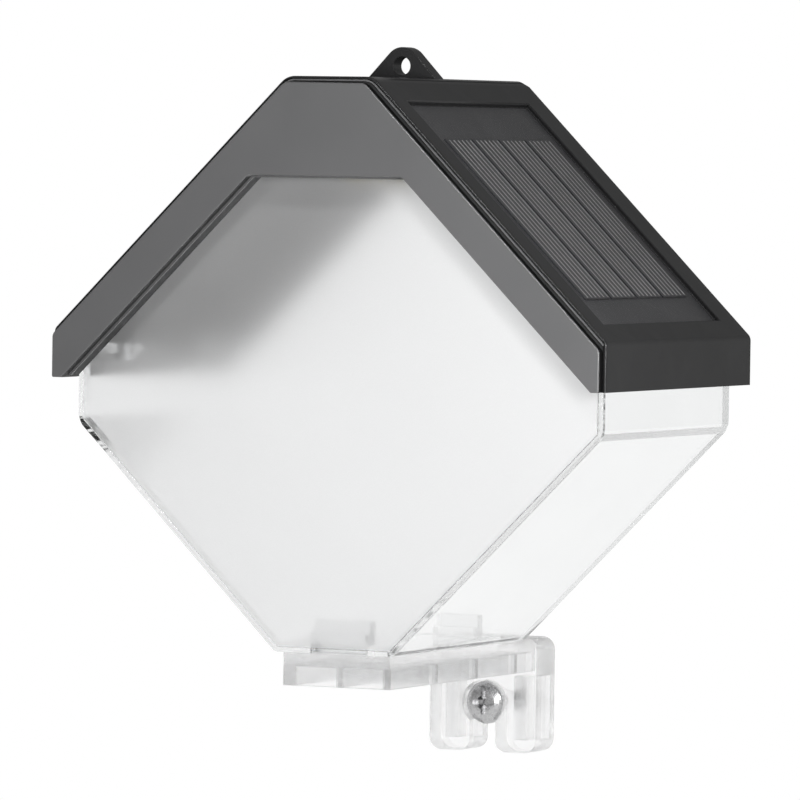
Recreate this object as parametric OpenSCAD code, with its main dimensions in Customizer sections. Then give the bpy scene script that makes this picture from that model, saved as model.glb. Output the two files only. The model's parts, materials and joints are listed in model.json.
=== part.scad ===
// Solar light with a house-shaped black roof over a clear six-sided body.
// It hangs by the tab on its ridge, or by its slotted bracket on a wall screw.
// Millimetres. The origin is the centre of the tab's hole, +X is right seen from
// the front, +Y is back towards the wall and +Z is up.

/* [Roof] */
// Width of the roof across the eaves
roof_w = 125; // [112:1:136]
// Depth of the roof from the fascia's face to its back edge
roof_depth = 76; // [74:1:84]
// Width of the flat ridge
ridge_w = 19.5; // [18:0.5:22]
// Height of the upright eave
eave_h = 10; // [9:0.5:12]
// Slope of the roof and of the body's lower sides in degrees
slope = 45; // [44:0.5:46]
// Wall thickness of the roof
roof_wall = 2; // [1.8:0.1:2.3]

/* [Hanging tab] */
// Width of the tab where it meets the ridge
tab_w = 15.6; // [13:0.2:18]
// Thickness of the tab
tab_t = 4; // [3:0.5:6]
// Radius of the tab's round top
tab_r = 3.9; // [3.4:0.1:5]
// Diameter of the hole in the tab
hole_d = 3.8; // [3:0.1:4.4]
// Height of the hole's centre above the ridge
hole_h = 2.6; // [2.4:0.1:4]

/* [Front fascia] */
// Depth of the fascia from its face to its back
fascia_depth = 7.2; // [6:0.2:8]
// Thickness of the fascia's rim in front of the groove
fascia_rim = 1.2; // [1:0.1:1.6]
// Width of the groove between the fascia's rim and the roof
groove_w = 1.7; // [1:0.1:2]
// Depth of that groove
groove_depth = 1.2; // [0.8:0.1:1.5]
// Width of the chevron band, square to the slope
band_w = 9; // [8:0.5:11]
// Thickness of the fascia's and the rear frame's walls
frame_wall = 1.6; // [1.4:0.1:1.8]
// Thickness of the rear frame
rear_frame_t = 3.2; // [3:0.2:4]

/* [Solar panel] */
// Distance down the slope from the ridge to the recess
recess_top = 6.8; // [5:0.2:8]
// Distance from the recess down to the eave's corner
recess_low = 5.2; // [5:0.2:8]
// Distance from the fascia's face to the recess
recess_front = 8.4; // [8.4:0.2:9.4]
// Distance from the recess to the roof's back edge
recess_back = 8.2; // [8:0.2:10]
// Depth of the recess
recess_depth = 2.2; // [2:0.1:2.4]
// Thickness of the recess's floor and rim
pan_wall = 1; // [0.8:0.1:1.2]
// Gap around the panel in its recess
panel_gap = 0.4; // [0.2:0.1:0.8]
// Thickness of the adhesive pad
adhesive_t = 0.4; // [0.3:0.1:0.5]
// Thickness of the panel's backing board
backing_t = 0.8; // [0.6:0.1:0.9]
// Thickness of the cells
cell_t = 0.15; // [0.1:0.05:0.2]
// Thickness of the panel's clear cover
cover_t = 0.25; // [0.2:0.05:0.3]
// Number of cell strips
cell_count = 4; // [3:1:5]
// Plain margin above the cells
cell_margin_top = 9.6; // [6:0.2:12]
// Plain margin below the cells
cell_margin_low = 7; // [5:0.2:10]
// Plain margin beside the cells
cell_margin_side = 3.6; // [3:0.2:5]
// Gap between two cell strips
cell_gap = 0.9; // [0.6:0.1:1.4]

/* [Clear body] */
// Distance from the roof's outer face to the body's side
body_margin = 3; // [2.9:0.1:4]
// Height of the body's upright sides below the eaves
body_side_h = 9.1; // [7:0.1:11]
// Width of the body's floor
floor_w = 26.6; // [25:0.2:30]
// Height of the body's sides inside the eaves
body_rim_h = 7; // [6.4:0.1:7.2]
// Wall thickness of the body
body_wall = 2; // [1.8:0.1:2.4]
// Thickness of the frosted front pane
diffuser_t = 1.8; // [1.5:0.1:2.2]
// Wall left around the pane's seat
seat_wall = 1.1; // [1:0.1:1.2]

/* [Wall bracket] */
// Distance from the edge of the body's floor to the bracket's channel
channel_inset = 1.2; // [0.6:0.1:2]
// Height of the bracket's channel
channel_h = 6.8; // [6:0.1:8]
// Thickness of the channel's top
channel_top = 2.9; // [2.4:0.1:3.2]
// Thickness of the channel's sides
channel_wall = 2.2; // [1.8:0.1:2.6]
// Distance from the fascia's face to the channel's front
channel_front = 9.1; // [9:0.1:10]
// Distance from the roof's back edge to the wall plate's front
plate_gap = 4.8; // [4:0.1:7]
// Depth of the wall plate
plate_depth = 9.5; // [8:0.1:11]
// Width of the wall plate
plate_w = 24.8; // [24:0.2:28]
// Height of the wall plate
plate_h = 24.4; // [22:0.2:26]
// Corner radius of the wall plate
plate_r = 2.8; // [2:0.1:3.4]
// Width of the slot for the wall screw
slot_w = 6; // [5.4:0.1:6.4]
// Depth of the pocket for the screw's head
pocket_depth = 3; // [2.6:0.1:3.6]
// How far the bracket slides back to come off
bracket_travel = 2.5; // [2:0.1:2.6]
// Width of the front hook
hook_w_front = 12.6; // [11:0.2:13]
// Width of the rear hook
hook_w_rear = 9.4; // [8:0.2:11]

/* [Wall screw] */
// Diameter of the screw's thread
screw_d = 4.8; // [4:0.1:5]
// Diameter of the screw's head
head_d = 9.2; // [8.8:0.1:9.4]
// Height of the screw's head
head_h = 2.9; // [2.5:0.1:3.2]
// Length of the screw below its head
screw_len = 12.7; // [12:0.1:16]

/* [Battery and switch] */
// Diameter of the battery
battery_d = 14.5; // [13.8:0.1:14.6]
// Thickness of the tray's floor
tray_t = 1.6; // [1.4:0.1:1.8]
// Thickness of the lamp's circuit board
board_t = 1.2; // [1:0.1:1.6]
// Diameter of the power button
button_d = 8; // [7:0.2:8.6]
// How far the power button goes in
button_travel = 1; // [0.8:0.1:1]

/* [Hidden] */
$fn = 48;
black = [0.16, 0.16, 0.17];
clear = [0.88, 0.92, 0.94, 0.4];
steel = [0.7, 0.7, 0.72];

// Small clearances
eps = 0.01;
seat_gap = 0.1;
fit_gap = 0.15;
run_gap = 0.35;

// Roof profile, measured from the middle of the eaves' lower edge
roof_hw = roof_w / 2;
ridge_hw = ridge_w / 2;
ridge_z = eave_h + (roof_hw - ridge_hw) * tan(slope);
slope_len = (roof_hw - ridge_hw) / cos(slope);

// The battery, the tray and the board set how far the ridge band comes down
battery_gap = 1;
cradle_gap = 0.2;
tray_clear = 1;
ridge_band = roof_wall + battery_gap + battery_d + cradle_gap + tray_t + tray_clear;
window_top = ridge_z - ridge_band;
tray_z = window_top + tray_clear;
tray_top = tray_z + tray_t;
battery_z = tray_top + cradle_gap + battery_d / 2;
board_z = tray_z - board_t;

// Depths from the fascia's face
shell_front = fascia_rim + groove_w;
body_front = fascia_depth + 0.2;
rear_frame_front = roof_depth - rear_frame_t;
body_back = rear_frame_front - 0.7;
tray_front = fascia_depth + 0.4;
tray_back = rear_frame_front - 0.4;

// Body profile
body_hw = roof_hw - body_margin;
body_drop = body_side_h + (body_hw - floor_w / 2) * tan(slope);
pan_t = recess_depth + pan_wall;
gable_inset = pan_t + 1;
gable_top = tray_z - run_gap;

// Solar panel in the frame of the slope: along it from the ridge's corner
recess_len = slope_len - recess_top - recess_low;
recess_w = roof_depth - recess_front - recess_back;
panel_len = recess_len - 2 * panel_gap;
panel_w = recess_w - 2 * panel_gap;
cell_area_len = panel_len - cell_margin_top - cell_margin_low;
cell_area_w = panel_w - 2 * cell_margin_side;
cell_w = (cell_area_w - (cell_count - 1) * cell_gap) / cell_count;
lead_hole_s = recess_top + 7.2;

// Bracket
bracket_z = -body_drop - 0.05;
channel_w = floor_w - 2 * channel_inset;
plate_front = roof_depth + plate_gap;
hook_t = 2.4;
hook_foot = 2;
hook_foot_t = 2;
hook_rise = 4.6;
hook_front = channel_front + 2.9;
hook_rear = body_back - body_wall - bracket_travel - hook_t - 0.2;
rib_t = 1.4;
rib_pitch = 0.2733 * (plate_front - channel_front);
rib_first = 1.2 * rib_pitch;
mouth_r = 2.6;
slot_z = bracket_z - 14.6;
screw_z = slot_z + (slot_w - screw_d) / 2 - 0.05;
pocket_d = head_d + 0.5;
screw_seat = plate_front + pocket_depth;
core_outer = 3;
core_inner_x = 6.6;
core_drop = 8.2;
core_web = 2.4;
core_floor = 2.6;

// Tray, from front to back
end_wall = 1.6;
spring_len = 2.2;
contact_t = 0.4;
contact_w = 10;
contact_h = 8;
contact_low = battery_z - 5;
switch_w = 8;
switch_h = 7;
switch_len = 5.6;
switch_gap = 0.7;
switch_back = rear_frame_front - 2.2;
switch_front = switch_back - switch_len;
rear_wall_front = switch_front - switch_gap - end_wall;
battery_back = rear_wall_front - contact_t;
battery_front = tray_front + end_wall + contact_t + spring_len;
battery_len = battery_back - battery_front;
button_flange = 0.8;
button_flange_r = button_d / 2 + 0.8;
stem_r = 1.5;

// Places of bosses and screws
tray_boss_x = 14.5;
tray_boss_front = tray_front + 6.4;
tray_boss_rear = tray_back - 14.4;
tray_boss_r = 2.6;
tray_screw_r = 1.2;
tray_screw_len = 8;
case_x = body_hw - body_wall - 4.5;
case_front = body_front + 8.6;
case_rear = body_back - 10.1;
case_boss_r = 2.8;
case_screw_r = 1.25;
case_screw_len = 6;
ear = 8;
ear_t = 2;
rear_boss_x = 13;
rear_boss_z = tray_top + 6;
rear_boss_r = 2.5;
rear_boss_front = rear_frame_front - 10.8;
rear_screw_r = 1.2;
rear_screw_len = 8;
rear_screw_seat = roof_depth - 1.7;
board_screw_x = 10.5;
board_screw_r = 0.95;
board_screw_len = 4;
pilot_gap = 0.03;
pilot_extra = 1.1;
small_head_r = 2.2;
small_head_t = 1.5;

// Circuit board
board_hw = 17;
board_front = tray_boss_front + 6;
board_len = tray_boss_rear - 3 - board_front;
board_screw_step = 0.4 * board_len;
parts_x = 14.5;
parts_front = board_front + 0.17 * board_len;
parts_len = 0.63 * board_len;
parts_w = 7;
chip_w = 3.9;
chip_len = 0.22 * parts_len;
chip_front = parts_front + 0.09 * parts_len;
lead_hole_d = parts_front + 0.4 * parts_len;
lead_pitch = 1.6;
inductor_d = parts_front + 0.68 * parts_len;
inductor_h = 4.2;
inductor_r = 2.5;
led_w = 3.5;
led_l = 2.8;
led_h = 0.8;
wire_r = 0.5;

// Half-width of the roof at an inset from its outer face, at height z on the slope
function slope_x(inset, z) = roof_hw + (-inset - (z - eave_h) * cos(slope)) / sin(slope);
// Height of the corner between eave and slope at an inset
function eave_corner(inset) = eave_h + (inset * sin(slope) - inset) / cos(slope);
// Profile of the roof at an inset, from z_low up to the flat ridge or z_top
function roof_points(inset, z_low, z_top) = [
    [-(roof_hw - inset), z_low],
    [-(roof_hw - inset), eave_corner(inset)],
    [-slope_x(inset, z_top), z_top],
    [slope_x(inset, z_top), z_top],
    [roof_hw - inset, eave_corner(inset)],
    [roof_hw - inset, z_low]];
// Height of the body's corner between side and lower slope at an inset
function side_corner(inset) = -body_side_h + (inset - inset * sin(slope)) / cos(slope);
// Half-width of the body's floor at an inset
function floor_x(inset) =
    body_hw + (-inset - (body_drop - inset - body_side_h) * cos(slope)) / sin(slope);
// Lower half of the body's profile at an inset, from left to right
function trough_points(inset) = [
    [-(body_hw - inset), side_corner(inset)],
    [-floor_x(inset), -body_drop + inset],
    [floor_x(inset), -body_drop + inset],
    [body_hw - inset, side_corner(inset)]];
// The body's front or back wall: the trough with a gable under the roof
function gable_side_z(inset) =
    eave_h + (-gable_inset - (body_hw - inset - roof_hw) * sin(slope)) / cos(slope);
function gable_points(inset) = concat(
    [[-slope_x(gable_inset, gable_top), gable_top],
     [-(body_hw - inset), gable_side_z(inset)]],
    trough_points(inset),
    [[body_hw - inset, gable_side_z(inset)],
     [slope_x(gable_inset, gable_top), gable_top]]);

// Point on the right slope: down the slope, depth, and height above its outer face
function slope_point(s, d, h) = [
    ridge_hw + s * cos(slope) + h * sin(slope), d,
    ridge_z - s * sin(slope) + h * cos(slope)];
// Height of the slope at an inset, above the point x
function slope_z(inset, x) = eave_h + (-inset - (x - roof_hw) * sin(slope)) / cos(slope);

// Rings of a wire along its points, with eight sides; up is a direction it never takes
function unit(v) = v / norm(v);
function path_tangent(p, i) =
    unit(p[min(i + 1, len(p) - 1)] - p[max(i - 1, 0)]);
function ring(p, i, r, up) =
    let (t = path_tangent(p, i), a = unit(cross(t, up)), b = cross(t, a))
    [for (k = [0:7]) p[i] + r * (a * cos(45 * k) + b * sin(45 * k))];
function wire_faces(n) = concat(
    [[for (k = [0:7]) k]],
    [for (i = [0:n - 2]) for (k = [0:7])
        [8 * i + k, 8 * (i + 1) + k, 8 * (i + 1) + (k + 1) % 8, 8 * i + (k + 1) % 8]],
    [[for (k = [7:-1:0]) 8 * (n - 1) + k]]);

// Sets a piece that is drawn from the middle of the eaves in the origin's frame
module from_eaves() {
    translate([0, -roof_depth / 2, -(ridge_z + hole_h)]) children();
}

// Draws an X-Z outline from depth d0 back to depth d1
module along_depth(d0, d1) {
    translate([0, d1, 0]) rotate([90, 0, 0]) linear_extrude(d1 - d0) children();
}

module roof_prism(inset, d0, d1, z_low = 0) {
    along_depth(d0, d1) polygon(roof_points(inset, z_low, ridge_z - inset));
}

// Window of the fascia and the rear frame, open at the bottom
module window_outline(inset, z_top) {
    polygon([
        [-slope_x(inset, -1), -1], [-slope_x(inset, z_top), z_top],
        [slope_x(inset, z_top), z_top], [slope_x(inset, -1), -1]]);
}

// Turns from the right slope's frame: X down the slope, Y to the back, Z outwards
module on_slope() {
    translate([ridge_hw, 0, ridge_z]) rotate([0, slope, 0]) children();
}

module panel_block(z0, z1, trim) {
    on_slope() translate([recess_top + trim, recess_front + trim, z0])
        cube([recess_len - 2 * trim, recess_w - 2 * trim, z1 - z0]);
}

module rod(r, h) {
    cylinder(r = r, h = h);
}

module rod_back(r, len) {
    rotate([-90, 0, 0]) cylinder(r = r, h = len);
}

// Small pan-head screw pointing up, with a cross recess, head under the origin
module small_screw(shank_r, len, head_r, head_t) {
    difference() {
        union() {
            translate([0, 0, -head_t]) rod(head_r, head_t);
            rod(shank_r, len);
        }
        for (turn = [0, 90]) rotate([0, 0, turn])
            translate([-head_r * 0.55, -0.25, -head_t - eps]) cube([head_r * 1.1, 0.5, 0.7]);
    }
}

module wire(points, r, up) {
    polyhedron(
        points = [for (i = [0:len(points) - 1]) each ring(points, i, r, up)],
        faces = wire_faces(len(points)));
}

module rounded_rect(w, h, r) {
    translate([-w / 2 + r, 0]) square([w - 2 * r, h]);
    translate([-w / 2, r]) square([w, h - 2 * r]);
    for (x = [-1, 1]) for (z = [r, h - r])
        translate([x * (w / 2 - r), z]) circle(r = r);
}

// Roof

module hanging_tab() {
    base = tab_w / 2;
    reach = norm([base, hole_h]);
    touch = atan2(-hole_h, base) + acos(tab_r / reach);
    foot = hole_h + roof_wall / 2;
    translate([0, tab_t / 2, 0]) rotate([90, 0, 0]) linear_extrude(tab_t) {
        circle(r = tab_r);
        polygon([
            [-base, -foot], [base, -foot], [base, -hole_h],
            [tab_r * cos(touch), tab_r * sin(touch)],
            [-tab_r * cos(touch), tab_r * sin(touch)], [-base, -hole_h]]);
    }
}

module tray_boss_places() {
    for (x = [-tray_boss_x, tray_boss_x]) for (d = [tray_boss_front, tray_boss_rear])
        translate([x, d, 0]) children();
}

module case_places() {
    for (x = [-case_x, case_x]) for (d = [case_front, case_rear])
        translate([x, d, 0]) children();
}

module rear_boss_places(d) {
    for (x = [-rear_boss_x, rear_boss_x]) translate([x, d, rear_boss_z]) children();
}

module roof_inner_parts() {
    rear_boss_len = rear_frame_front - 0.05 - rear_boss_front;
    panel_block(-pan_t, 0, -pan_wall);
    translate([0, 0, tray_top + 0.05]) tray_boss_places() rod(tray_boss_r, ridge_z);
    translate([0, 0, body_rim_h + seat_gap]) case_places() rod(case_boss_r, ridge_z);
    rear_boss_places(rear_boss_front) {
        rod_back(rear_boss_r, rear_boss_len);
        translate([-1, 0, 0]) cube([2, rear_boss_len, ridge_z]);
    }
}

module roof_shell() {
    color(black) difference() {
        union() {
            from_eaves() difference() {
                roof_prism(0, shell_front, roof_depth);
                along_depth(shell_front - eps, roof_depth + eps)
                    polygon(roof_points(roof_wall, -1, ridge_z - roof_wall));
            }
            from_eaves() intersection() {
                roof_prism(0, shell_front, roof_depth);
                roof_inner_parts();
            }
            hanging_tab();
        }
        from_eaves() {
            panel_block(-recess_depth, 5, 0);
            on_slope() translate([lead_hole_s, lead_hole_d, -pan_t - 1]) rod(1.7, pan_t);
            translate([0, 0, tray_top - 1]) tray_boss_places()
                rod(tray_screw_r + pilot_gap, tray_screw_len);
            translate([0, 0, body_rim_h - 1]) case_places()
                rod(case_screw_r + pilot_gap, case_screw_len);
            rear_boss_places(rear_screw_seat - rear_screw_len - pilot_extra)
                rod_back(rear_screw_r + pilot_gap, rear_screw_len + pilot_extra);
        }
        translate([0, -tab_t, 0]) rod_back(hole_d / 2, 2 * tab_t);
    }
}

// Frames

module front_fascia() {
    color(black) from_eaves() difference() {
        union() {
            roof_prism(0, 0, fascia_rim);
            roof_prism(groove_depth, 0, shell_front);
            roof_prism(roof_wall + fit_gap, 0, fascia_depth);
        }
        along_depth(-1, fascia_depth + 1) window_outline(band_w, window_top);
        along_depth(frame_wall, fascia_depth + 1) difference() {
            polygon(roof_points(
                roof_wall + fit_gap + frame_wall, frame_wall,
                ridge_z - roof_wall - fit_gap - frame_wall));
            window_outline(band_w - frame_wall, window_top + frame_wall);
        }
    }
}

module rear_frame() {
    color(black) from_eaves() difference() {
        roof_prism(roof_wall + fit_gap, rear_frame_front, roof_depth);
        along_depth(rear_frame_front - 1, roof_depth + 1) window_outline(band_w, window_top);
        translate([0, rear_frame_front - 1, battery_z])
            rod_back(button_d / 2 + fit_gap, rear_frame_t + 2);
        rear_boss_places(rear_frame_front - 1) rod_back(1.4, rear_frame_t + 2);
        rear_boss_places(rear_screw_seat) rod_back(small_head_r + 0.1, 3);
    }
}

// Solar panel

module panel_layer(z0, t) {
    panel_block(z0, z0 + t, panel_gap);
}

module panel_adhesive() {
    color([0.9, 0.9, 0.88]) from_eaves() difference() {
        panel_block(-recess_depth, -recess_depth + adhesive_t, panel_gap + 2);
        on_slope() translate([lead_hole_s, lead_hole_d, -recess_depth - 1]) rod(2.6, 3);
    }
}

module panel_backing() {
    color([0.06, 0.06, 0.08]) from_eaves()
        panel_layer(-recess_depth + adhesive_t, backing_t);
}

module solar_cells() {
    color([0.1, 0.11, 0.15]) from_eaves() on_slope()
        for (i = [0:cell_count - 1])
            translate([
                recess_top + panel_gap + cell_margin_top,
                recess_front + panel_gap + cell_margin_side + i * (cell_w + cell_gap),
                -recess_depth + adhesive_t + backing_t])
                cube([cell_area_len, cell_w, cell_t]);
}

module panel_cover() {
    color([0.2, 0.2, 0.24, 0.5]) from_eaves()
        panel_layer(-recess_depth + adhesive_t + backing_t + cell_t, cover_t);
}

// Clear body and its frosted pane

module trough_outline(inset, z_top) {
    polygon(concat(
        [[-(body_hw - inset), z_top]], trough_points(inset), [[body_hw - inset, z_top]]));
}

module hook_slot(d, w) {
    translate([-w / 2 - 0.2, d - fit_gap, -body_drop - 1])
        cube([w + 0.4, hook_t + bracket_travel + 2 * fit_gap, body_wall + 2]);
}

module clear_body() {
    color(clear) from_eaves() difference() {
        union() {
            along_depth(body_front, body_back) difference() {
                trough_outline(0, body_rim_h);
                trough_outline(body_wall, body_rim_h + 1);
            }
            along_depth(body_back - body_wall, body_back) polygon(gable_points(0));
            for (x = [-1, 1]) for (d = [case_front, case_rear])
                translate([x * (case_x + 0.5) - 4.2, d - ear / 2, body_rim_h - ear_t])
                    cube([8.4, ear, ear_t]);
        }
        along_depth(body_front - 1, body_front + diffuser_t + seat_gap)
            polygon(gable_points(seat_wall));
        translate([0, 0, body_rim_h - 5]) case_places() rod(1.5, 10);
        hook_slot(hook_front, hook_w_front);
        hook_slot(hook_rear, hook_w_rear);
    }
}

module front_diffuser() {
    color([0.93, 0.93, 0.94, 0.8]) from_eaves()
        along_depth(body_front, body_front + diffuser_t)
            polygon(gable_points(seat_wall + seat_gap));
}

// Strips of foam on the body's side walls, under the slopes
module eave_gaskets() {
    strip_w = 1.2;
    strip_h = slope_z(roof_wall, body_hw) - 0.25 - body_rim_h;
    color([0.12, 0.12, 0.12]) from_eaves()
        for (x = [-1, 1])
            translate([x * (body_hw - 0.7) - strip_w / 2, body_front + 2.4, body_rim_h])
                cube([strip_w, body_back - body_front - 5, strip_h]);
}

// Wall bracket

module plate_outline() {
    difference() {
        translate([0, -plate_h]) rounded_rect(plate_w, plate_h, plate_r);
        translate([0, slot_z - bracket_z]) circle(d = slot_w);
        translate([-slot_w / 2, -plate_h - 1]) square([slot_w, slot_z - bracket_z + plate_h + 1]);
        for (x = [-1, 1]) translate([x * slot_w / 2, -plate_h]) difference() {
            translate([min(0, x * mouth_r), -1]) square([mouth_r, mouth_r + 1]);
            translate([x * mouth_r, mouth_r]) circle(r = mouth_r);
        }
    }
}

module channel() {
    inner = channel_w - 2 * channel_wall;
    run = plate_front + 1 - channel_front;
    difference() {
        translate([-channel_w / 2, channel_front, -channel_h])
            cube([channel_w, run, channel_h]);
        translate([-inner / 2, channel_front + channel_wall, -channel_h - 1])
            cube([inner, run, channel_h - channel_top + 1]);
    }
    for (i = [1:3])
        translate([-channel_w / 2 + 1, channel_front + rib_first + (i - 1) * rib_pitch, -channel_h])
            cube([channel_w - 2, rib_t, channel_h - 1]);
    translate([-rib_t / 2, channel_front + 1, -channel_h]) cube([rib_t, run - 1, channel_h - 1]);
}

module hook(d, w) {
    floor_top = body_wall - body_drop - bracket_z;
    translate([-w / 2, d, -1]) cube([w, hook_t, 1 + floor_top + hook_rise]);
    translate([-w / 2, d - hook_foot, floor_top + seat_gap]) cube([w, hook_foot + 1, hook_foot_t]);
}

module wall_bracket() {
    core_w = plate_w / 2 - core_outer - core_inner_x;
    color(clear) from_eaves() translate([0, 0, bracket_z]) difference() {
        union() {
            channel();
            along_depth(plate_front, plate_front + plate_depth) plate_outline();
            hook(hook_front, hook_w_front);
            hook(hook_rear, hook_w_rear);
        }
        translate([0, plate_front - 5, screw_z - bracket_z])
            rod_back(pocket_d / 2, 5 + pocket_depth);
        for (x = [-1, 1])
            translate([x * (core_inner_x + core_w / 2) - core_w / 2, plate_front + core_web,
                -plate_h + core_floor])
                cube([core_w, plate_depth, plate_h - core_floor - core_drop]);
        for (notch = [[-2.9, 4, 1.2, 1.1], [2.9, 2.7, 0.9, 1.9]])
            translate([notch[0], channel_front - 1, -notch[3] - notch[2]])
                cube([notch[1], 1.6, notch[2]]);
    }
}

module screw_head() {
    rotate_extrude() polygon(concat(
        [[0, 0], [head_d / 2, 0]],
        [for (a = [0:10:90]) [
            head_d / 2 - 3 * (1 - cos(a)), 0.7 + (head_h - 0.7) * sin(a)]],
        [[0, head_h]]));
}

module wall_screw() {
    core = 0.75 * screw_d / 2;
    tip = 3.2;
    pitch = 1.6;
    turns = floor((screw_len - tip) / pitch);
    color(steel) from_eaves() translate([0, screw_seat - 0.02, screw_z]) rotate([90, 0, 0])
        difference() {
            union() {
                screw_head();
                mirror([0, 0, 1]) rotate_extrude() polygon(concat(
                    [[0, -0.5], [core, -0.5]],
                    [for (i = [0:turns - 1]) each [
                        [core, i * pitch + 0.3], [screw_d / 2, i * pitch + 0.7],
                        [screw_d / 2, i * pitch + 0.9], [core, i * pitch + 1.3]]],
                    [[core, screw_len - tip], [0.2, screw_len], [0, screw_len]]));
            }
            for (turn = [0, 90]) rotate([0, 0, turn])
                translate([-2.5, -0.5, head_h - 1.7]) cube([5, 1, 3]);
            translate([0, 0, head_h - 2]) cylinder(r1 = 0.6, r2 = 1.5, h = 2.1);
        }
}

// Tray under the ridge

module tray_part(x, d, z, size) {
    translate([x - size[0] / 2, d, z]) cube(size);
}

module electronics_tray() {
    tray_hw = slope_x(pan_t + 0.4, tray_top);
    wall_h = battery_z + 3 - tray_z;
    seat_h = battery_z - switch_h / 2 - 0.02 - tray_z;
    color([0.2, 0.2, 0.21]) from_eaves() difference() {
        union() {
            tray_part(0, tray_front, tray_z, [2 * tray_hw, tray_back - tray_front, tray_t]);
            tray_part(0, tray_front, tray_z, [16, end_wall, wall_h]);
            tray_part(0, rear_wall_front, tray_z, [16, end_wall, wall_h]);
            for (k = [1, 3, 5])
                tray_part(0, battery_front + k / 6 * battery_len - 0.7, tray_z,
                    [17.2, 1.4, battery_z - 2 - tray_z]);
            tray_part(0, switch_front, tray_z, [switch_w + 2.4, switch_len, seat_h]);
            for (x = [-1, 1])
                tray_part(x * (switch_w / 2 + 0.65), switch_front, tray_z,
                    [1.1, switch_len, battery_z - tray_z]);
            board_screw_places() translate([0, 0, tray_z]) rod(1.9, tray_t + 2);
        }
        translate([0, battery_front - 1, battery_z]) rod_back(battery_d / 2 + 0.15, battery_len + 1.4);
        for (x = [-parts_x, parts_x])
            tray_part(x, parts_front, tray_z - 1, [parts_w, parts_len, tray_t + 2]);
        tray_boss_places() translate([0, 0, tray_z - 1]) rod(1.4, tray_t + 2);
        board_screw_places() translate([0, 0, tray_z - 1])
            rod(board_screw_r + pilot_gap, board_screw_len + 0.2);
    }
}

module board_screw_places() {
    for (x = [-1, 1])
        translate([x * board_screw_x, board_front + board_len / 2 - x * board_screw_step, 0])
            children();
}

module battery() {
    nub = 1.2;
    color([0.2, 0.45, 0.3]) from_eaves() translate([0, battery_front, battery_z]) {
        rod_back(battery_d / 2, battery_len - nub);
        rod_back(2.7, battery_len);
    }
}

module contact_spring() {
    turns = 2.5;
    coil_r = 0.3;
    steps = 40;
    reach = spring_len - 2 * coil_r - 0.1;
    color(steel) from_eaves() translate([0, battery_front - spring_len + coil_r + 0.05, battery_z])
        wire([for (i = [0:steps]) let (f = i / steps, a = f * turns * 360)
            [(4 - 1.6 * f) * cos(a), f * reach, (4 - 1.6 * f) * sin(a)]],
            coil_r, [0, 1, 0]);
}

module contact_plates() {
    color(steel) from_eaves() {
        for (d = [tray_front + end_wall, battery_back])
            tray_part(0, d, contact_low, [contact_w, contact_t, contact_h]);
    }
}

module led_board() {
    color([0.92, 0.93, 0.9]) from_eaves() difference() {
        tray_part(0, board_front, board_z, [2 * board_hw, board_len, board_t]);
        board_screw_places() translate([0, 0, board_z - 1]) rod(1.15, board_t + 2);
    }
}

module leds() {
    color([0.95, 0.85, 0.4]) from_eaves()
        for (x = [-6, 6]) for (k = [0.2, 0.5, 0.8])
            tray_part(x, board_front + k * board_len - led_l / 2, board_z - led_h,
                [led_w, led_l, led_h]);
}

module driver_chip() {
    color([0.1, 0.1, 0.1]) from_eaves() {
        tray_part(parts_x, chip_front, tray_z + 0.15, [chip_w, chip_len, 1.4]);
        for (x = [-1, 1]) for (k = [1, 3, 5, 7])
            tray_part(parts_x + x * (chip_w / 2 + 0.45), chip_front + k / 8 * chip_len - 0.2,
                tray_z, [1, 0.4, 0.5]);
    }
}

module inductor() {
    flange = 0.8;
    color([0.25, 0.25, 0.27]) from_eaves() translate([parts_x, inductor_d, tray_z]) {
        rod(inductor_r, flange);
        rod(inductor_r - 0.6, inductor_h);
        translate([0, 0, inductor_h - flange]) rod(inductor_r, flange);
    }
}

module capacitor() {
    color([0.15, 0.17, 0.25]) from_eaves()
        translate([-parts_x, parts_front + parts_len / 2, tray_z]) rod(2, 5.2);
}

module switch_body() {
    color([0.12, 0.12, 0.13]) from_eaves() difference() {
        tray_part(0, switch_front, battery_z - switch_h / 2, [switch_w, switch_len, switch_h]);
        translate([0, switch_back - 2.2, battery_z]) rod_back(stem_r + 0.1, 3);
    }
}

module power_button() {
    flange_front = rear_frame_front - 0.1 - button_flange;
    color([0.1, 0.1, 0.1]) from_eaves() translate([0, 0, battery_z]) {
        translate([0, flange_front, 0]) {
            rod_back(button_flange_r, button_flange);
            rod_back(button_d / 2, roof_depth + button_travel - flange_front);
        }
        translate([0, switch_back - 0.9, 0]) rod_back(stem_r, flange_front - switch_back + 1);
    }
}

// Wires, by points in the eaves' frame

module panel_leads() {
    lead_start = -recess_depth + adhesive_t - 0.05;
    pad_x = parts_x - 2.2;
    color([0.6, 0.1, 0.1]) from_eaves()
        for (side = [-0.5, 0.5]) let (d = lead_hole_d + side * lead_pitch)
            wire([
                slope_point(lead_hole_s, d, lead_start),
                slope_point(lead_hole_s, d, -pan_t - 0.6),
                [parts_x + 0.2, d, tray_top + 2.6],
                [pad_x + 0.3, d, tray_top + 1],
                [pad_x, d, tray_z + 1],
                [pad_x, d, tray_z + 0.03]], wire_r, [0, 1, 0]);
}

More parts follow.
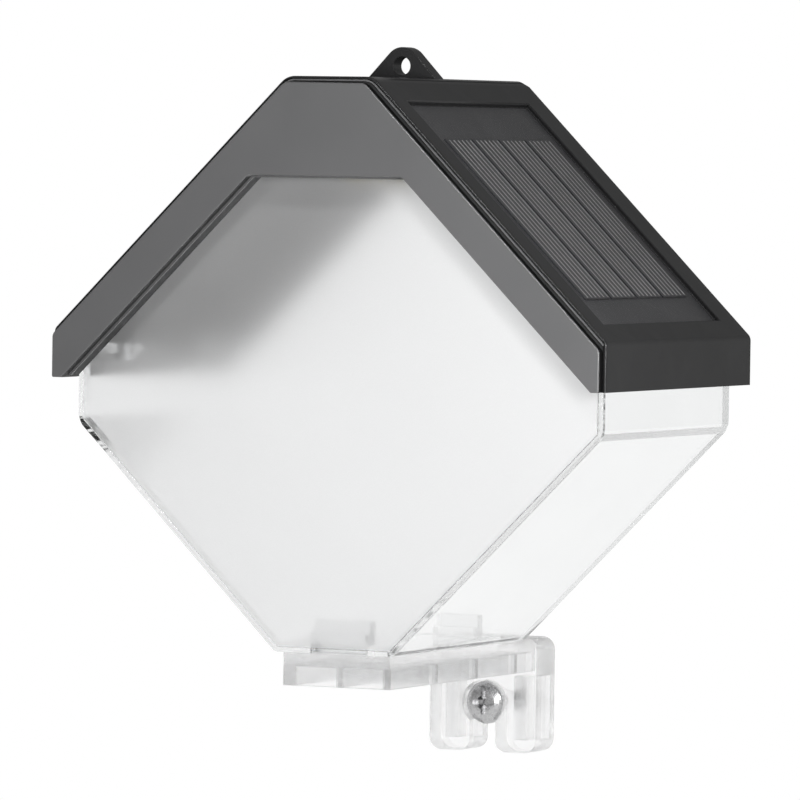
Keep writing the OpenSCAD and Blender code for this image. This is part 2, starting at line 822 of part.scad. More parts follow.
// One battery lead, from a contact plate past the cradle to a pad on the board
module battery_lead(plate_d, inwards, pad_d) {
    lane_x = -battery_d / 2 - 3.1;
    lane_z = tray_top + 2.8;
    pad_x = lane_x - 2.2;
    wire([
        [-5.6, plate_d + 0.15 * inwards, battery_z - 3],
        [-8.2, plate_d + 0.5 * inwards, battery_z - 3.4],
        [lane_x + 0.4, plate_d + 3 * inwards, lane_z + 1],
        [lane_x, plate_d + 6 * inwards, lane_z],
        [lane_x, pad_d - 4 * inwards, lane_z],
        [pad_x + 0.5, pad_d - 0.7 * inwards, lane_z - 0.6],
        [pad_x, pad_d, tray_z + 1.6],
        [pad_x, pad_d, tray_z + 0.03]], wire_r, [1, inwards, 0]);
}

module battery_leads() {
    color([0.15, 0.15, 0.5]) from_eaves() {
        battery_lead(tray_front + end_wall + 0.45, 1, parts_front + 2);
        battery_lead(battery_back - 0.25, -1, parts_front + parts_len - 2);
    }
}

module switch_leads() {
    lane_x = battery_d / 2 + 2;
    top = battery_z + switch_h / 2;
    pad_d = parts_front + parts_len - 1;
    color([0.7, 0.7, 0.7]) from_eaves()
        for (k = [0, 1])
            let (lane = lane_x + 1.5 * k, d = switch_front + 1.6 + 1.8 * k,
                pad_x = parts_x - 2.2 + lead_pitch * k)
            wire([
                [1, d, top + 0.03],
                [1, d, top + 0.9],
                [4, d - 0.2, top + 1.4],
                [lane, d - 1.4, top - 0.5],
                [lane, switch_front - 3, top - 1.7],
                [lane, pad_d + 9, battery_z - 1],
                [lane + 1.2, pad_d + 2.6, tray_top + 2.6],
                [pad_x, pad_d, tray_z + 1.6],
                [pad_x, pad_d, tray_z + 0.03]], wire_r, [1, 1, 0]);
}

// Small screws

module tray_screws() {
    color(steel) from_eaves() tray_boss_places() translate([0, 0, tray_z])
        small_screw(tray_screw_r, tray_screw_len, small_head_r, small_head_t);
}

module case_screws() {
    color(steel) from_eaves() case_places() translate([0, 0, body_rim_h - ear_t])
        small_screw(case_screw_r, case_screw_len, small_head_r, small_head_t);
}

module rear_screws() {
    color(steel) from_eaves() rear_boss_places(rear_screw_seat) rotate([90, 0, 0])
        small_screw(rear_screw_r, rear_screw_len, small_head_r - 0.1, small_head_t);
}

module board_screws() {
    color(steel) from_eaves() board_screw_places() translate([0, 0, board_z])
        small_screw(board_screw_r, board_screw_len, 0.8 * small_head_r, 0.8 * small_head_t);
}

roof_shell();
front_fascia();
rear_frame();
clear_body();
front_diffuser();
wall_bracket();
wall_screw();
panel_adhesive();
panel_backing();
solar_cells();
panel_cover();
electronics_tray();
battery();
contact_spring();
contact_plates();
led_board();
leds();
driver_chip();
inductor();
capacitor();
switch_body();
power_button();
panel_leads();
battery_leads();
switch_leads();
eave_gaskets();
tray_screws();
case_screws();
rear_screws();
board_screws();
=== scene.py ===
"""Solar hanging light: looks of the house-shaped roof, clear body and wall bracket."""

import json
from math import cos, radians, sin, tan

import bmesh
import bpy
from mathutils import Matrix, Vector


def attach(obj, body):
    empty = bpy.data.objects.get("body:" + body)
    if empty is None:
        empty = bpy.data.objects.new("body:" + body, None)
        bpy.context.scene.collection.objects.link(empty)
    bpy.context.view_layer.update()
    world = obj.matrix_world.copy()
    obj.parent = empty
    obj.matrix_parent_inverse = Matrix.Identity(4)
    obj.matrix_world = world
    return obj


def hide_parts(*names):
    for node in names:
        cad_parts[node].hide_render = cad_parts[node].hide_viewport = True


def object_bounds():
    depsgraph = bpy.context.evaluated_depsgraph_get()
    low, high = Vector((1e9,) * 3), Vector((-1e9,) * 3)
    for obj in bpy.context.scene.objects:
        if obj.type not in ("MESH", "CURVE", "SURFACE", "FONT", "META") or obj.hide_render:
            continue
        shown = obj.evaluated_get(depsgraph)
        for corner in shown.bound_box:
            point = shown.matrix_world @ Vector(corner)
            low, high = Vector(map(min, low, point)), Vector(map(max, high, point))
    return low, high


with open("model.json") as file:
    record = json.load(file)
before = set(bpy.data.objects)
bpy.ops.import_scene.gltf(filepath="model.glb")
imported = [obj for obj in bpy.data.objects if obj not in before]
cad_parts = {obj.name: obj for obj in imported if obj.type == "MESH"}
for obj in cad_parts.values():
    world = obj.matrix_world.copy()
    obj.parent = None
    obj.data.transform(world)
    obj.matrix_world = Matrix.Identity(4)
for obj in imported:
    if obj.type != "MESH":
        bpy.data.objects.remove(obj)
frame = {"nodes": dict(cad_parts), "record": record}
CAD_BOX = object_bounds()
MM = 0.001

# Measures of the CAD pieces, in millimetres. Heights are from the eaves' lower edge,
# depths from the roof's front and widths from the middle
ROOF_HALF = 62.5
ROOF_DEPTH = 76.0
EAVE_H = 10.0
RIDGE_Z = 62.75
RIDGE_HALF = 9.75
HOLE_ABOVE_RIDGE = 2.6
EAVES_Z = -(RIDGE_Z + HOLE_ABOVE_RIDGE)
SHELL_FRONT = 2.9
BAND_W = 9.0
WINDOW_TOP = 42.45
BODY_HALF = 59.5
BODY_KNEE_Z = -9.1
BODY_FOOT_X = 13.3
BODY_FOOT_Z = -55.3
BODY_FRONT = 7.4
BODY_BACK = 72.1
TAB_HALF_T = 2.0
SCREW_HEAD_DEPTH = 84.0
SCREW_Z = -69.45

# The fascia's face stands proud of the roof's front edge. The insets are from the roof's
# outline at the eaves, the slopes and the ridge
CAD_GROOVE_DEPTH = 1.2
STEP_DEPTH = 1.9
EAVE_ROUND = 1.7
RIDGE_ROUND = 4.2
FOOT_FLARE = 0.3
GROOVE_OVERLAP = 0.2
FACE_INSET = (0.85, 1.7, 1.35)
LEFT_FACE_INSET = (0.5, 1.1, 1.2)
LIP_INSET = (0.45, 0.68, 0.62)
LIP_INNER = (0.72, 1.02, 0.92)
GROOVE_DEPTH = 2.3
SKIN_INSET = (0.45, 0.4, 0.4)

# The trim along the window, and behind it a thin near-black strip of painted shade, as (low,
# high, front, back)
TRIM_BAR = (-0.1, 0.45, 2.2, 2.7)
SHADE_STRIP_BAR = (-0.1, 0.06, 2.7, 3.7)
BAR_FOOT_LIFT = 0.4
BAR_ROUND = 0.8

# Widths of the moulded edges' roundings
RIDGE_EDGE = 1.74
EAVE_EDGE = 0.7
RIM_EDGE = 0.5
ROOF_FOOT_EDGE = 0.35
RECESS_EDGE = 0.35
SKIN_EDGE = 0.38
TAB_EDGE = 0.3
FACE_RIDGE_EDGE = 0.9
FACE_SLOPE_EDGE = 0.6
FACE_EAVE_EDGE = 0.9
FACE_EDGE = 0.45
WINDOW_EDGE = 0.8
REAR_EDGE = 0.3
KNEE_EDGE = 1.7
FOOT_EDGE = 0.8
BODY_RIM_EDGE = 0.22
BRACKET_EDGE = 0.3

# The solar panel's recess in the right slope: how deep its walls reach, and from where
# to where they lie. The walls within these bounds get a near-black colour as painted shade
RECESS_DEPTH = (0.2, 2.25)
RECESS_RANGE_D = (8.3, 67.9)
RECESS_RIM_D = (7.0, 69.0)
RECESS_RIM_X = (12.0, 60.5)

# Solar cells with their printed silver lines, down the slope and in depth
CELL_COUNT = 4
CELL_W = 12.175
CELL_GAP = 0.9
CELL_LEN = 45.2
CELL_FIRST_S = 16.8
CELL_FIRST_D = 12.4
CELL_LOW = -1.0
CELL_TOP = -0.64
LINES_PER_CELL = 6
LINE_PITCH = 2.0
LINE_SHIFT = 0.5
LINE_W = 0.42
LINE_END = 0.4
LINE_LOW = 0.002
LINE_TOP = 0.012

# The camera, found from the photograph's corners; lengths in half roof widths
CAMERA_YAW = 25.38
CAMERA_PITCH = -1.889
CAMERA_ROLL = 0.841
CAMERA_RIGHT = -0.2567
CAMERA_UP = 0.049
CAMERA_AWAY = 25.587
CAMERA_FOCAL_PX = 7867.0
IMAGE_PX = 800.0
SENSOR_MM = 36.0
CLIP_NEAR = 0.1
CLIP_FAR = 50.0

# Disc lamps aimed at the light's middle: name, watts, size and place in metres
LAMPS = (
    ("key", 0.62, 0.07, (0.19, -0.2, -0.03)),
    ("fill", 3.4, 0.5, (0.4, -1.0, 0.02)),
    ("edge", 2.5, 0.14, (0.24, -0.72, 0.58)),
    ("top", 0.45, 0.8, (0.1, 0.1, 1.1)),
)
LAMP_AIM = (0.0, 0.0, -0.07)
WORLD_LEVEL = 0.25
FLOOR_DROP = 0.42
FLOOR_HALF = 2.5
FLOOR_SHADE = 0.12

# The studio as mirrors see it: a band at eye level, fading to a lower level above and below
MIRROR_BAND = 0.12
MIRROR_FADE = 0.25
MIRROR_LEVEL = 0.5
MIRROR_DIM = 0.25

# Clear plastic: its tint, and how fast it darkens with depth
CLEAR_TINT = (0.60, 0.61, 0.61)
CLEAR_DENSITY = 4.5
LIGHT_BOUNCES = 96


def from_eaves(x, d, z):
    """A point given in the eaves' frame, in millimetres, to the frame in metres."""
    return Vector((x, d - ROOF_DEPTH / 2, z + EAVES_Z)) * MM


# Shader helpers

# Sockets of the Mix node, which has several of the same name
MIX_FACTOR = 0
MIX_VALUE_A = 2
MIX_VALUE_B = 3
MIX_COLOUR_A = 6
MIX_COLOUR_B = 7
MIX_COLOUR_OUT = 2


def new_group(name, inputs, outputs):
    """An empty node group with named sockets; returns the group and its end nodes."""
    group = bpy.data.node_groups.new(name, "ShaderNodeTree")
    for label, kind, value in inputs:
        socket = group.interface.new_socket(label, in_out="INPUT", socket_type=kind)
        if value is not None:
            socket.default_value = value
    for label, kind in outputs:
        group.interface.new_socket(label, in_out="OUTPUT", socket_type=kind)
    return group, group.nodes.new("NodeGroupInput"), group.nodes.new("NodeGroupOutput")


def add(tree, kind, **settings):
    """A new node of a kind, with its settings."""
    node = tree.nodes.new(kind)
    for key, value in settings.items():
        setattr(node, key, value)
    return node


def join(tree, source, target):
    """Links an output socket to an input socket."""
    tree.links.new(source, target)


def math_node(tree, operation, a, b=None, clamp=False):
    """The result of a sum on one or two values, which may be numbers or sockets."""
    node = add(tree, "ShaderNodeMath", operation=operation, use_clamp=clamp)
    for socket, value in zip(node.inputs, (a, b)):
        if value is None:
            continue
        if isinstance(value, (int, float)):
            socket.default_value = value
        else:
            join(tree, value, socket)
    return node.outputs[0]


def ramp(tree, value, stops):
    """A colour ramp over the value, with stops of (place, colour)."""
    node = add(tree, "ShaderNodeValToRGB")
    elements = node.color_ramp.elements
    while len(elements) < len(stops):
        elements.new(0.5)
    for element, (place, colour) in zip(elements, stops):
        element.position = place
        element.color = (*colour, 1.0)
    join(tree, value, node.inputs["Fac"])
    return node.outputs["Color"]


def spread(tree, value, low, high, out_low, out_high):
    """The value moved from one range to another, held at the ends."""
    node = add(tree, "ShaderNodeMapRange")
    for label, number in (("From Min", low), ("From Max", high),
                          ("To Min", out_low), ("To Max", out_high)):
        node.inputs[label].default_value = number
    join(tree, value, node.inputs["Value"])
    return node.outputs["Result"]


def noise(tree, vector, scale, detail=2.0, rough=0.5):
    """A noise value from 0 to 1 over a place."""
    node = add(tree, "ShaderNodeTexNoise")
    node.inputs["Scale"].default_value = scale
    node.inputs["Detail"].default_value = detail
    node.inputs["Roughness"].default_value = rough
    join(tree, vector, node.inputs["Vector"])
    return node.outputs["Fac"]


def object_millimetres(tree):
    """Object coordinates in millimetres."""
    place = add(tree, "ShaderNodeTexCoord")
    scale = add(tree, "ShaderNodeVectorMath", operation="SCALE")
    scale.inputs["Scale"].default_value = 1 / MM
    join(tree, place.outputs["Object"], scale.inputs[0])
    return scale.outputs[0]


def moulded_grain_group():
    """Fine satin grain of moulded plastic with a slow cloudy change over it."""
    group, start, end = new_group(
        "moulded_grain",
        [("Vector", "NodeSocketVector", None), ("Grain", "NodeSocketFloat", 2.5),
         ("Cloud", "NodeSocketFloat", 0.05)],
        [("Height", "NodeSocketFloat"), ("Cloud", "NodeSocketFloat"),
         ("Speck", "NodeSocketFloat")])
    grain = add(group, "ShaderNodeTexNoise")
    grain.inputs["Detail"].default_value = 3.0
    cells = add(group, "ShaderNodeTexVoronoi", feature="F1")
    cloud = add(group, "ShaderNodeTexNoise")
    cloud.inputs["Detail"].default_value = 4.0
    for node, label in ((grain, "Grain"), (cells, "Grain"), (cloud, "Cloud")):
        join(group, start.outputs["Vector"], node.inputs["Vector"])
        join(group, start.outputs[label], node.inputs["Scale"])
    height = math_node(group, "ADD", math_node(group, "MULTIPLY", grain.outputs["Fac"], 0.6),
                       math_node(group, "MULTIPLY", cells.outputs["Distance"], 0.4))
    join(group, height, end.inputs["Height"])
    join(group, cloud.outputs["Fac"], end.inputs["Cloud"])
    join(group, spread(group, grain.outputs["Fac"], 0.58, 0.8, 0.0, 1.0), end.inputs["Speck"])
    return group


def handling_group():
    """Faint smudges and hairline scratches, as masks from 0 to 1."""
    group, start, end = new_group(
        "handling",
        [("Vector", "NodeSocketVector", None), ("Smudge Size", "NodeSocketFloat", 0.08),
         ("Scratch Size", "NodeSocketFloat", 0.4)],
        [("Smudge", "NodeSocketFloat"), ("Scratch", "NodeSocketFloat")])
    smudge = add(group, "ShaderNodeTexNoise")
    smudge.inputs["Detail"].default_value = 5.0
    smudge.inputs["Distortion"].default_value = 0.6
    join(group, start.outputs["Vector"], smudge.inputs["Vector"])
    join(group, start.outputs["Smudge Size"], smudge.inputs["Scale"])
    stretch = add(group, "ShaderNodeVectorMath", operation="MULTIPLY")
    stretch.inputs[1].default_value = (9.0, 1.0, 0.4)
    join(group, start.outputs["Vector"], stretch.inputs[0])
    scratch = add(group, "ShaderNodeTexNoise")
    scratch.inputs["Detail"].default_value = 2.0
    join(group, stretch.outputs[0], scratch.inputs["Vector"])
    join(group, start.outputs["Scratch Size"], scratch.inputs["Scale"])
    join(group, spread(group, smudge.outputs["Fac"], 0.45, 0.75, 0.0, 1.0),
         end.inputs["Smudge"])
    join(group, spread(group, scratch.outputs["Fac"], 0.68, 0.72, 0.0, 1.0),
         end.inputs["Scratch"])
    return group


def turned_metal_group():
    """Fine turning marks round the Y axis through a centre, for screw heads."""
    group, start, end = new_group(
        "turned_metal",
        [("Vector", "NodeSocketVector", None), ("Centre", "NodeSocketVector", None),
         ("Pitch", "NodeSocketFloat", 6.0)],
        [("Height", "NodeSocketFloat"), ("Tone", "NodeSocketFloat")])
    shift = add(group, "ShaderNodeVectorMath", operation="SUBTRACT")
    join(group, start.outputs["Vector"], shift.inputs[0])
    join(group, start.outputs["Centre"], shift.inputs[1])
    flat = add(group, "ShaderNodeVectorMath", operation="MULTIPLY")
    flat.inputs[1].default_value = (1.0, 0.0, 1.0)
    join(group, shift.outputs[0], flat.inputs[0])
    length = add(group, "ShaderNodeVectorMath", operation="LENGTH")
    join(group, flat.outputs[0], length.inputs[0])
    rings = math_node(group, "SINE", math_node(
        group, "MULTIPLY", length.outputs["Value"], start.outputs["Pitch"]))
    grain = add(group, "ShaderNodeTexNoise")
    grain.inputs["Scale"].default_value = 2.4
    grain.inputs["Detail"].default_value = 3.0
    join(group, shift.outputs[0], grain.inputs["Vector"])
    join(group, math_node(group, "ADD", math_node(group, "MULTIPLY", rings, 0.25),
                          grain.outputs["Fac"]), end.inputs["Height"])
    join(group, grain.outputs["Fac"], end.inputs["Tone"])
    return group


GRAIN = moulded_grain_group()
HANDLING = handling_group()
TURNED = turned_metal_group()


def place_group(tree, group, vector, **values):
    """A shared group in a material's tree, with its values set."""
    node = add(tree, "ShaderNodeGroup", node_tree=group)
    join(tree, vector, node.inputs["Vector"])
    for label, value in values.items():
        node.inputs[label.replace("_", " ")].default_value = value
    return node


def principled(name, **values):
    """A material with one Principled BSDF, and its plain values on the shader itself."""
    material = bpy.data.materials.new(name)
    material.use_nodes = True
    tree = material.node_tree
    tree.nodes.clear()
    shader = add(tree, "ShaderNodeBsdfPrincipled")
    for label, value in values.items():
        shader.inputs[label.replace("_", " ")].default_value = value
    out = add(tree, "ShaderNodeOutputMaterial")
    join(tree, shader.outputs["BSDF"], out.inputs["Surface"])
    return material, tree, shader


def bump(tree, shader, height, depth_mm):
    """A bump on the shader from a height, with its depth in millimetres."""
    node = add(tree, "ShaderNodeBump")
    node.inputs["Distance"].default_value = depth_mm * MM
    node.inputs["Strength"].default_value = 1.0
    join(tree, height, node.inputs["Height"])
    join(tree, node.outputs["Normal"], shader.inputs["Normal"])


def tint(tree, low, high, value):
    """A colour between two, by a value from 0 to 1."""
    return ramp(tree, value, [(0.25, low), (0.75, high)])


def hazy_plastic(name, colour, rough):
    """Clear plastic with a light haze and small flow marks, as moulded clips have."""
    material, tree, shader = principled(
        name, IOR=1.49, Transmission_Weight=0.965, Specular_IOR_Level=0.5, Alpha=0.75)
    place = object_millimetres(tree)
    marks = noise(tree, place, 0.35, 3.0)
    join(tree, tint(tree, tuple(0.95 * c for c in colour), colour, marks),
         shader.inputs["Base Color"])
    join(tree, spread(tree, marks, 0.3, 0.7, rough, rough + 0.1), shader.inputs["Roughness"])
    bump(tree, shader, marks, 0.03)
    return material


def moulded_plastic(name, low, high, rough, grain=2.6, depth=0.012, shine=0.5, cloud=0.05,
                    coat=0.0):
    """Satin moulded plastic: grain in the bump, clouds in the colour and roughness."""
    material, tree, shader = principled(
        name, Specular_IOR_Level=shine, Coat_Weight=coat, Coat_Roughness=0.13)
    place = object_millimetres(tree)
    grained = place_group(tree, GRAIN, place, Grain=grain, Cloud=cloud)
    handled = place_group(tree, HANDLING, place)
    join(tree, tint(tree, low, high, grained.outputs["Cloud"]), shader.inputs["Base Color"])
    roughness = math_node(
        tree, "ADD", spread(tree, grained.outputs["Cloud"], 0.3, 0.7, rough - 0.04, rough + 0.04),
        math_node(tree, "MULTIPLY", handled.outputs["Smudge"], -0.05))
    join(tree, roughness, shader.inputs["Roughness"])
    bump(tree, shader, grained.outputs["Height"], depth)
    return material


def clear_plastic(name, colour, rough, ripple_mm=0.004):
    """Polished clear plastic with faint flow ripples."""
    material, tree, shader = principled(
        name, IOR=1.49, Transmission_Weight=1.0, Specular_IOR_Level=0.5)
    place = object_millimetres(tree)
    handled = place_group(tree, HANDLING, place, Smudge_Size=0.06, Scratch_Size=0.2)
    soft = noise(tree, place, 0.09, 2.0)
    join(tree, tint(tree, tuple(0.985 * c for c in colour), colour, soft),
         shader.inputs["Base Color"])
    join(tree, spread(tree, handled.outputs["Smudge"], 0.0, 1.0, rough, rough + 0.05),
         shader.inputs["Roughness"])
    bump(tree, shader, soft, ripple_mm)
    depth = add(tree, "ShaderNodeVolumeAbsorption")
    depth.inputs["Color"].default_value = (*CLEAR_TINT, 1.0)
    depth.inputs["Density"].default_value = CLEAR_DENSITY
    out = next(n for n in tree.nodes if n.type == "OUTPUT_MATERIAL")
    join(tree, depth.outputs["Volume"], out.inputs["Volume"])
    return material


def frosted_plastic(name):
    """Frosted pane: white haze with a fine sparkling grain."""
    material, tree, shader = principled(
        name, IOR=1.45, Transmission_Weight=0.75, Specular_IOR_Level=0.3)
    place = object_millimetres(tree)
    grained = place_group(tree, GRAIN, place, Grain=7.0, Cloud=0.04)
    join(tree, tint(tree, (0.72, 0.722, 0.725), (0.79, 0.792, 0.795),
                    grained.outputs["Height"]), shader.inputs["Base Color"])
    join(tree, spread(tree, grained.outputs["Height"], 0.3, 0.7, 0.28, 0.34),
         shader.inputs["Roughness"])
    bump(tree, shader, grained.outputs["Height"], 0.003)
    return material


def clear_film(name):
    """The panel's thin satin film: a faint haze with its own gloss."""
    material, tree, shader = principled(name, Alpha=0.1, Specular_IOR_Level=0.6)
    place = object_millimetres(tree)
    handled = place_group(tree, HANDLING, place, Smudge_Size=0.07)
    join(tree, tint(tree, (0.12, 0.12, 0.124), (0.16, 0.16, 0.164), handled.outputs["Smudge"]),
         shader.inputs["Base Color"])
    join(tree, spread(tree, handled.outputs["Smudge"], 0.0, 1.0, 0.38, 0.46),
         shader.inputs["Roughness"])
    bump(tree, shader, noise(tree, place, 5.0, 2.0), 0.004)
    return material


def zinc_steel(name, centre, dark, light, rough):
    """Plated steel with turning marks round a centre."""
    material, tree, shader = principled(name, Metallic=1.0)
    place = object_millimetres(tree)
    turned = place_group(tree, TURNED, place, Centre=tuple(centre), Pitch=9.0)
    join(tree, tint(tree, dark, light, turned.outputs["Tone"]), shader.inputs["Base Color"])
    join(tree, spread(tree, turned.outputs["Tone"], 0.3, 0.7, rough - 0.05, rough + 0.07),
         shader.inputs["Roughness"])
    bump(tree, shader, turned.outputs["Height"], 0.002)
    return material


def speckled(name, low, high, rough, scale, depth=0.01, **values):
    """A plain finish with a speckle of a given scale, for the small inner pieces."""
    material, tree, shader = principled(name, **values)
    place = object_millimetres(tree)
    speck = noise(tree, place, scale, 4.0, 0.6)
    join(tree, tint(tree, low, high, speck), shader.inputs["Base Color"])
    join(tree, spread(tree, speck, 0.3, 0.7, rough - 0.05, rough + 0.05),
         shader.inputs["Roughness"])
    bump(tree, shader, speck, depth)
    return material


def solar_cell(name):
    """Dark cell: a cloudy blue-black crystal sheen."""
    material, tree, shader = principled(name, Specular_IOR_Level=0.4)
    place = object_millimetres(tree)
    flakes = add(tree, "ShaderNodeTexVoronoi", feature="F1")
    flakes.inputs["Scale"].default_value = 0.35
    join(tree, place, flakes.inputs["Vector"])
    tone = math_node(tree, "ADD", math_node(tree, "MULTIPLY", flakes.outputs["Distance"], 0.25),
                     math_node(tree, "MULTIPLY", noise(tree, place, 0.12, 3.0), 0.8))
    join(tree, tint(tree, (0.009, 0.0095, 0.011), (0.016, 0.0165, 0.019), tone),
         shader.inputs["Base Color"])
    join(tree, spread(tree, tone, 0.2, 0.8, 0.32, 0.42), shader.inputs["Roughness"])
    bump(tree, shader, noise(tree, place, 3.0, 3.0), 0.004)
    return material


def lamp_board(name):
    """White solder mask over faint copper areas, with green-grey clearances."""
    material, tree, shader = principled(name, Specular_IOR_Level=0.5)
    place = object_millimetres(tree)
    areas = add(tree, "ShaderNodeTexVoronoi", feature="DISTANCE_TO_EDGE", distance="EUCLIDEAN")
    areas.inputs["Scale"].default_value = 0.14
    join(tree, place, areas.inputs["Vector"])
    seam = spread(tree, areas.outputs["Distance"], 0.02, 0.06, 1.0, 0.0)
    mask = noise(tree, place, 0.8, 3.0)
    paint = add(tree, "ShaderNodeMix", data_type="RGBA")
    join(tree, seam, paint.inputs[MIX_FACTOR])
    join(tree, tint(tree, (0.76, 0.77, 0.75), (0.84, 0.85, 0.83), mask),
         paint.inputs[MIX_COLOUR_A])
    paint.inputs[MIX_COLOUR_B].default_value = (0.58, 0.6, 0.56, 1.0)
    join(tree, paint.outputs[MIX_COLOUR_OUT], shader.inputs["Base Color"])
    join(tree, spread(tree, mask, 0.3, 0.7, 0.3, 0.42), shader.inputs["Roughness"])
    bump(tree, shader, seam, 0.02)
    return material


def stage_white(name, shade):
    """The floor: white to the camera, mirrors and glass, with part of its real shading."""
    material = bpy.data.materials.new(name)
    material.use_nodes = True
    tree = material.node_tree
    tree.nodes.clear()
    place = object_millimetres(tree)
    diffuse = add(tree, "ShaderNodeBsdfDiffuse")
    join(tree, tint(tree, (0.93, 0.93, 0.93), (0.95, 0.95, 0.95), noise(tree, place, 0.02)),
         diffuse.inputs["Color"])
    glow = add(tree, "ShaderNodeEmission")
    glow.inputs["Strength"].default_value = 1.0
    seen = seen_directly(tree)
    glow_share = math_node(tree, "MULTIPLY", seen, 1.0 - shade)
    mixed = add(tree, "ShaderNodeMixShader")
    join(tree, glow_share, mixed.inputs["Fac"])
    join(tree, diffuse.outputs["BSDF"], mixed.inputs[1])
    join(tree, glow.outputs["Emission"], mixed.inputs[2])
    under = add(tree, "ShaderNodeNewGeometry")
    clear = add(tree, "ShaderNodeBsdfTransparent")
    sided = add(tree, "ShaderNodeMixShader")
    join(tree, under.outputs["Backfacing"], sided.inputs["Fac"])
    join(tree, mixed.outputs["Shader"], sided.inputs[1])
    join(tree, clear.outputs["BSDF"], sided.inputs[2])
    out = add(tree, "ShaderNodeOutputMaterial")
    join(tree, sided.outputs["Shader"], out.inputs["Surface"])
    return material


def seen_directly(tree):
    """1 for camera, glossy and transmission rays, else 0."""
    rays = add(tree, "ShaderNodeLightPath")
    first = math_node(tree, "MAXIMUM", rays.outputs["Is Camera Ray"],
                      rays.outputs["Is Glossy Ray"])
    return math_node(tree, "MAXIMUM", first, rays.outputs["Is Transmission Ray"])


# Materials: those of the record's slots, and those that only pieces made here use

SCREW_CENTRE = from_eaves(0, SCREW_HEAD_DEPTH, SCREW_Z) / MM
MATERIALS = {
    "roof_black": moulded_plastic(
        "roof_black", (0.0155, 0.0155, 0.0159), (0.019, 0.019, 0.0195), 0.5, shine=0.12,
        coat=0.2),
    "fascia_black": moulded_plastic(
        "fascia_black", (0.092, 0.092, 0.0938), (0.103, 0.103, 0.105), 0.42, shine=0.3,
        coat=0.5),
    # A darker copy of the fascia plastic: painted shade for the window's reveal walls and the
    # fascia's groove floor
    "fascia_painted_shade": moulded_plastic(
        "fascia_painted_shade", (0.021, 0.021, 0.0215), (0.026, 0.026, 0.0265), 0.45, shine=0.2),
    # A near-black copy of the black plastic: painted shade for the panel recess walls, the
    # fascia's groove walls and the strip behind the window trim
    "deep_painted_shade": moulded_plastic(
        "deep_painted_shade", (0.004, 0.004, 0.0042), (0.006, 0.006, 0.0063), 0.55, shine=0.1),
    "tray_grey": moulded_plastic(
        "tray_grey", (0.045, 0.045, 0.047), (0.055, 0.055, 0.057), 0.55, shine=0.4),
    "panel_black": moulded_plastic(
        "panel_black", (0.019, 0.019, 0.021), (0.024, 0.024, 0.026), 0.42, grain=4.0,
        depth=0.006),
    "clear_plastic": clear_plastic("clear_plastic", (0.985, 0.99, 0.99), 0.02),
    "frosted_plastic": frosted_plastic("frosted_plastic"),
    "bracket_plastic": hazy_plastic("bracket_plastic", (0.985, 0.987, 0.99), 0.12),
    "pane_back": clear_plastic("pane_back", (0.985, 0.985, 0.985), 0.06),
    "panel_resin": clear_film("panel_resin"),
    "solar_cell": solar_cell("solar_cell"),
    "silver_print": speckled(
        "silver_print", (0.32, 0.32, 0.325), (0.39, 0.39, 0.395), 0.5, 3.0, 0.003),
    "screw_steel": zinc_steel(
        "screw_steel", SCREW_CENTRE, (0.42, 0.42, 0.425), (0.62, 0.62, 0.625), 0.22),
    "small_screw_steel": speckled(
        "small_screw_steel", (0.42, 0.42, 0.43), (0.6, 0.6, 0.61), 0.32, 2.0, Metallic=1.0),
    "contact_metal": speckled(
        "contact_metal", (0.62, 0.6, 0.55), (0.75, 0.73, 0.68), 0.2, 1.2, Metallic=1.0),
    "foam": speckled("foam", (0.03, 0.03, 0.03), (0.07, 0.07, 0.07), 0.85, 3.5, 0.08),
    "battery_wrap": speckled(
        "battery_wrap", (0.05, 0.2, 0.12), (0.08, 0.26, 0.16), 0.3, 0.3,
        Coat_Weight=0.3),
    "board_white": lamp_board("board_white"),
    "led_phosphor": speckled(
        "led_phosphor", (0.8, 0.62, 0.14), (0.9, 0.74, 0.24), 0.4, 4.0, 0.02),
    "chip_black": speckled("chip_black", (0.02, 0.02, 0.022), (0.034, 0.034, 0.036), 0.5, 5.0),
    "ferrite": speckled("ferrite", (0.05, 0.05, 0.052), (0.085, 0.083, 0.08), 0.7, 4.0, 0.03),
    "capacitor_sleeve": speckled(
        "capacitor_sleeve", (0.015, 0.025, 0.07), (0.022, 0.035, 0.09), 0.35, 1.0),
    "button_rubber": speckled(
        "button_rubber", (0.022, 0.022, 0.023), (0.032, 0.032, 0.033), 0.62, 3.0, 0.015,
        Sheen_Weight=0.15),
    "wire_red": speckled("wire_red", (0.42, 0.02, 0.015), (0.52, 0.03, 0.02), 0.4, 1.5),
    "wire_blue": speckled("wire_blue", (0.02, 0.04, 0.22), (0.03, 0.055, 0.3), 0.4, 1.5),
    "wire_white": speckled("wire_white", (0.6, 0.6, 0.57), (0.7, 0.7, 0.67), 0.4, 1.5),
}


def dress_nodes():
    """Gives each CAD node the material of its slot."""
    for part in frame["record"]["subparts"]:
        mesh = frame["nodes"][part["node"]].data
        mesh.materials.clear()
        mesh.materials.append(MATERIALS[part["material_slot"]])


SLOTS = {part["node"]: part["material_slot"] for part in frame["record"]["subparts"]}


# Pieces made from the CAD solids, with their moulded edges rounded

def cad_mesh(node):
    """A bmesh of a CAD node, welded, with its flat faces made whole again."""
    shape = bmesh.new()
    shape.from_mesh(frame["nodes"][node].data)
    bmesh.ops.remove_doubles(shape, verts=shape.verts, dist=0.002 * MM)
    bmesh.ops.dissolve_limit(
        shape, angle_limit=radians(0.4), verts=shape.verts, edges=shape.edges)
    return shape


def eaves_point(place):
    """A place in the eaves' frame: x, depth and height in millimetres."""
    return (place.x / MM, place.y / MM + ROOF_DEPTH / 2, place.z / MM - EAVES_Z)


def inside_roof(x, z):
    """How far a point lies inside the roof's outer profile, in millimetres."""
    slope = (ROOF_HALF + EAVE_H - abs(x) - z) / 2 ** 0.5
    return min(ROOF_HALF - abs(x), slope, RIDGE_Z - z)


